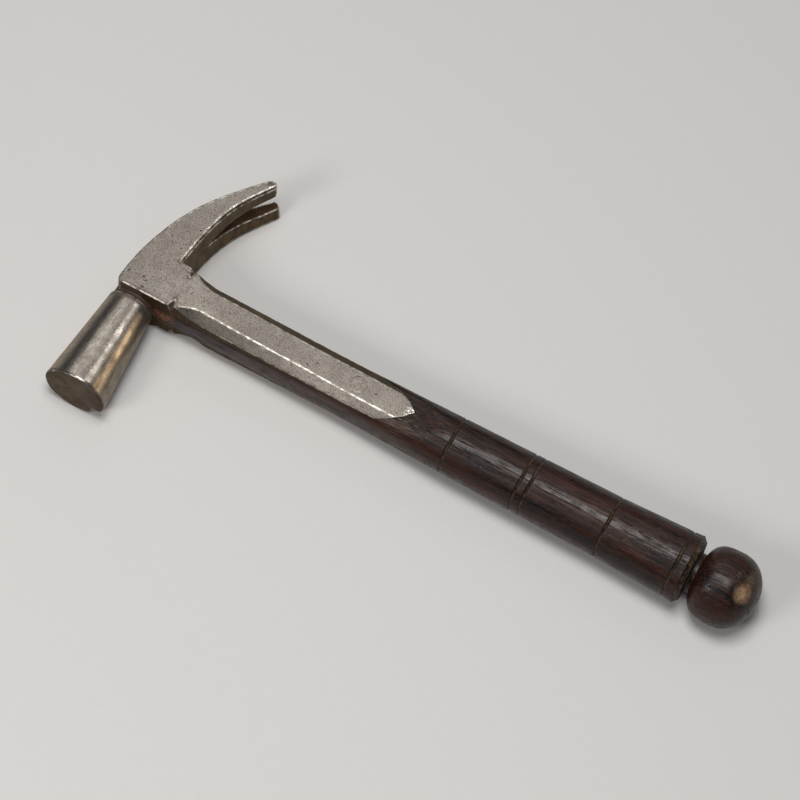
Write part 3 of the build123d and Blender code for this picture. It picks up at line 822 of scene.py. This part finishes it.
def upper_section(x):
    """Half a section at x, from the far side (+Y) over the top to the near side, as (y, z) points."""
    near, far = strap_sides(x)
    tries = np.linspace(0, math.pi, 1441)
    widths = outer_points(x, tries)[:, 0]
    far_rim, near_rim = np.interp([-far, -near], -widths, tries)
    if x < STRAP_TIP[0]:
        far_side = outer_points(x, np.linspace(0, far_rim, SIDE_STEPS))
        near_side = outer_points(x, np.linspace(near_rim, math.pi, SIDE_STEPS))
        floor_z = interpolate(FORK_Z, x)
        corners = np.array([far_side[-1], (far, floor_z), (near, floor_z), near_side[0]])
        steps = (WALL_STEPS, FLOOR_STEPS, WALL_STEPS)
        bed = [np.linspace(a, b, n + 1)[1:] for a, b, n in zip(corners, corners[1:], steps)]
        return np.concatenate([far_side, *bed, near_side[1:]])
    between = UPPER - 2 * SIDE_STEPS
    pinched = np.concatenate([
        np.linspace(0, far_rim - PINCH, SIDE_STEPS),
        np.linspace(far_rim - PINCH, near_rim + PINCH, between + 2)[1:-1],
        np.linspace(near_rim + PINCH, math.pi, SIDE_STEPS),
    ])
    spread = smoothstep(x, STRAP_TIP[0], STRAP_TIP[0] + SPREAD_LENGTH)
    return outer_points(x, pinched * (1 - spread) + np.linspace(0, math.pi, UPPER) * spread)


def whole_section(upper):
    """A closed ring of (y, z) points from its upper half."""
    return np.concatenate([upper, upper[-2:0:-1] * (1, -1)])


def box_section(half_y, half_z):
    """The upper half of a rectangle, with as many points as the other sections."""
    corners = np.array([(half_y, 0), (half_y, half_z), (-half_y, half_z), (-half_y, 0)])
    steps = (SIDE_STEPS - 1, UPPER + 1 - 2 * SIDE_STEPS, SIDE_STEPS - 1)
    sides = [np.linspace(a, b, n + 1)[1:] for a, b, n in zip(corners, corners[1:], steps)]
    return np.concatenate([corners[:1], *sides])


def tenon_sections():
    """The tenon's rings: it fills the eye, which widens towards the back."""
    rings = []
    for x in np.linspace(BLOCK_BACK_X + 0.25, BLOCK_END_X, TENON_ROWS):
        share = (x - BLOCK_BACK_X) / (BLOCK_END_X - BLOCK_BACK_X)
        rings.append((x, box_section(*[a + (b - a) * share for a, b in zip(EYE_BACK, EYE_FRONT)])))
    return rings


def stick_sections():
    """The rings from the block to the grip's end, closer at the strap's tip and the scribed rings."""
    tip_x = STRAP_TIP[0]
    stations = [
        *np.arange(BLOCK_END_X + 0.02, tip_x - 1.2, STEP_X),
        *np.arange(tip_x - 1.2, tip_x - 0.1, TIP_STEP_X),
        tip_x - 0.05,
        tip_x + 0.05,
        *np.arange(tip_x + 0.4, GRIP_END_X - END_CHAMFER, STEP_X),
    ]
    for ring in RINGS:
        stations = [x for x in stations if abs(x - ring) > RING_HALF + 0.2]
        stations += [ring + d * RING_HALF for d in (-1.15, -0.8, -0.5, -0.25, 0, 0.25, 0.5, 0.8, 1.15)]
    return [(x, upper_section(x)) for x in sorted(stations)]


def tail_profile():
    """The grip's chamfered end, the neck and the ball, as x and radius."""
    end_r = GRIP_END_R - END_CHAMFER
    shares = np.linspace(0, 1, 7)
    chamfer = [(GRIP_END_X - END_CHAMFER * (1 - t), GRIP_END_R - END_CHAMFER * t) for t in shares]
    shares = np.linspace(0.1, 1, 8)
    shoulder = [(GRIP_END_X + 0.4 * t, end_r + (BALL_NECK_R - end_r) * t) for t in shares]
    (neck_length, neck_fullness), (end_length, end_fullness) = BALL_SIDES
    ball = []
    for phi in np.linspace(0, math.pi / 2, NECK_SIDE_STEPS):
        r = BALL_R * math.sin(phi) ** (2 / neck_fullness)
        if r > BALL_NECK_R:
            ball.append((BALL_X - neck_length * math.cos(phi) ** (2 / neck_fullness), r))
    for phi in np.linspace(0, math.pi / 2, END_SIDE_STEPS)[1:]:
        r = BALL_R * math.cos(phi) ** (2 / end_fullness)
        ball.append((BALL_X + end_length * math.sin(phi) ** (2 / end_fullness), max(r, POLE_R)))
    neck = [(x, BALL_NECK_R) for x in np.linspace(GRIP_END_X + 0.7, ball[0][0] - 0.15, 4)]
    return chamfer + shoulder + neck + ball


def handle_rows():
    """Every ring of the handle, as an array of rows of (x, y, z) points."""
    angle = np.linspace(0, math.pi, UPPER)
    circle = np.stack([np.cos(angle), np.sin(angle)], 1)
    sections = tenon_sections() + stick_sections() + [(x, circle * r) for x, r in tail_profile()]
    points = np.array([[(x, y, z) for y, z in whole_section(upper)] for x, upper in sections])
    # The tenon's end follows the back of the block, which slopes.
    slant, width = BACK_SLANT
    for row in range(TENON_ROWS):
        share = 1 - row / (TENON_ROWS - 1)
        points[row, :, 0] += share * slant * (points[row, :, 1] + width / 2) / width
    return points


def to_line(points, line):
    """Distance from each point to a line of straight runs."""
    nearest = np.full(len(points), np.inf)
    for a, b in zip(np.array(line), np.array(line)[1:]):
        share = np.clip(((points - a) @ (b - a)) / ((b - a) @ (b - a)), 0, 1)
        nearest = np.minimum(nearest, np.linalg.norm(points - a - share[:, None] * (b - a), axis=1))
    return nearest


def outward_directions(points):
    """Away from the handle's axis, and on the ball away from its middle."""
    x, y, z = points.T
    radius = np.maximum(np.hypot(y, z), 0.1)
    along = smoothstep(x, 206.0, 208.0) * (x - BALL_X) / BALL_R * 1.2
    outward = np.stack([along, y / radius, z / radius], 1)
    return outward / np.maximum(np.linalg.norm(outward, axis=1), 0.1)[:, None]


def free_surface(points):
    """1 where the wood shows and may be shaped, 0 where it touches steel."""
    x, y, _ = points.T
    near, far = np.array([strap_sides(v) for v in x]).T
    in_bed = (x < STRAP_TIP[0]) & (y > near - 0.02) & (y < far + 0.02)
    return np.where(in_bed | (x <= BLOCK_END_X), 0.0, 1.0)


def wear_handle(points, groove, crack):
    """How far the surface stands out: unevenness, splinters, scribed rings, dents and the ball's crack."""
    x, _, z = points.T
    shift = 0.05 * noise_at(points, 14.0, 2, stretch=(0.4, 1, 1))
    shift += 0.030 * noise_at(points, 0.8, 3, stretch=(0.10, 1, 1))
    rough_zone = smoothstep(x, 90, 98) * (1 - smoothstep(x, 104, 113)) * smoothstep(z, 0, 4)
    shift -= rough_zone * SPLINTER_DEPTH * np.clip(noise_at(points, 0.7, 3, stretch=(0.08, 1, 1)), 0, 1)
    shift -= RING_DEPTH * groove * np.clip(1 + 0.5 * noise_at(points, 3.0, 2), 0.4, 1.3)
    chance = random.Random(5)
    for _ in range(HANDLE_DENTS):
        turn = chance.uniform(0, 2 * math.pi)
        across = (HANDLE_DENT_R * math.cos(turn), HANDLE_DENT_R * math.sin(turn))
        centre = np.array([chance.uniform(*HANDLE_DENT_X), *across])
        gap = (points - centre) * (chance.uniform(0.5, 1.2), 1, 1)
        depth = chance.uniform(*HANDLE_DENT_DEPTH)
        reach = np.linalg.norm(gap, axis=1) / chance.uniform(*HANDLE_DENT_SIZE)
        hit = reach < 1
        shift[hit] -= depth * (1 - reach[hit] ** 2) ** 2
    return shift - CRACK_DEPTH * crack


def mark_handle(mesh, points, x, y, groove, crack):
    """Says where each kind of wood is, for the material; x and y are from before the wear."""
    chamfer = smoothstep(x, GRIP_END_X - END_CHAMFER - 0.3, GRIP_END_X - END_CHAMFER + 0.4)
    chamfer *= 1 - smoothstep(x, GRIP_END_X + 0.3, GRIP_END_X + 1.5)
    chamfer *= np.clip(0.75 + 0.6 * noise_at(points, 2.0, 2, stretch=(6, 1, 1)), 0, 1)
    set_attribute(mesh, "groove", np.maximum(groove, chamfer * 0.9))
    split = np.linalg.norm((points - SPLIT_WOOD) * (0.7, 1, 0.5), axis=1)
    set_attribute(mesh, "bare", np.clip(1.1 - split / 5.5, 0, 1))
    spot_centre, spot_size = WORN_SPOT
    spot = np.linalg.norm(points - spot_centre, axis=1) / spot_size
    rubbed = np.clip(1.25 - spot, 0, 1) * np.clip(0.9 + 0.6 * noise_at(points, 1.2, 2), 0, 1)
    set_attribute(mesh, "worn", rubbed)
    set_attribute(mesh, "crack", crack)
    by_block = (1 - smoothstep(x, 11, 17)) * (x > BLOCK_END_X)
    set_attribute(mesh, "rusty", by_block * smoothstep(-y, 3.5, 6.0) * 0.9)


def make_handle(material):
    rows = handle_rows()
    drawn = rows.reshape(-1, 3)
    x, y, z = drawn.T
    groove = np.maximum.reduce([np.clip(1 - np.abs(x - ring) / RING_HALF, 0, 1) for ring in RINGS])
    crack = (1 - smoothstep(to_line(drawn[:, :2], BALL_CRACK), 0.12, 0.50)) * (z > 0)
    shift = wear_handle(drawn, groove, crack) * free_surface(drawn)
    points = inside_box(drawn + outward_directions(drawn) * shift[:, None], handle_low, handle_high)
    mesh = closed_stack("turned_handle", points.reshape(rows.shape))
    mesh.materials.append(material)
    mesh.shade_smooth()
    mesh.set_sharp_from_angle(angle=WOOD_SHARP_ANGLE)
    mark_handle(mesh, points, x, y, groove, crack)
    piece = new_object("turned_handle", mesh)
    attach(piece, "root")
    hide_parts("handle")


# ---------------------------------------------------------------------------
# Wedge: the CAD node stays, with rusted iron on it
# ---------------------------------------------------------------------------
def finish_wedge(material):
    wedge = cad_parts["wedge"].data
    wedge.materials.clear()
    wedge.materials.append(material)


make_camera()
make_floor(floor_material())
make_lights()
steel = steel_material()
make_head(steel)
for rivet in RIVETS:
    make_rivet(rivet, steel)
make_handle(wood_material())
finish_wedge(iron_material())
bpy.context.scene.view_settings.view_transform = "Standard"
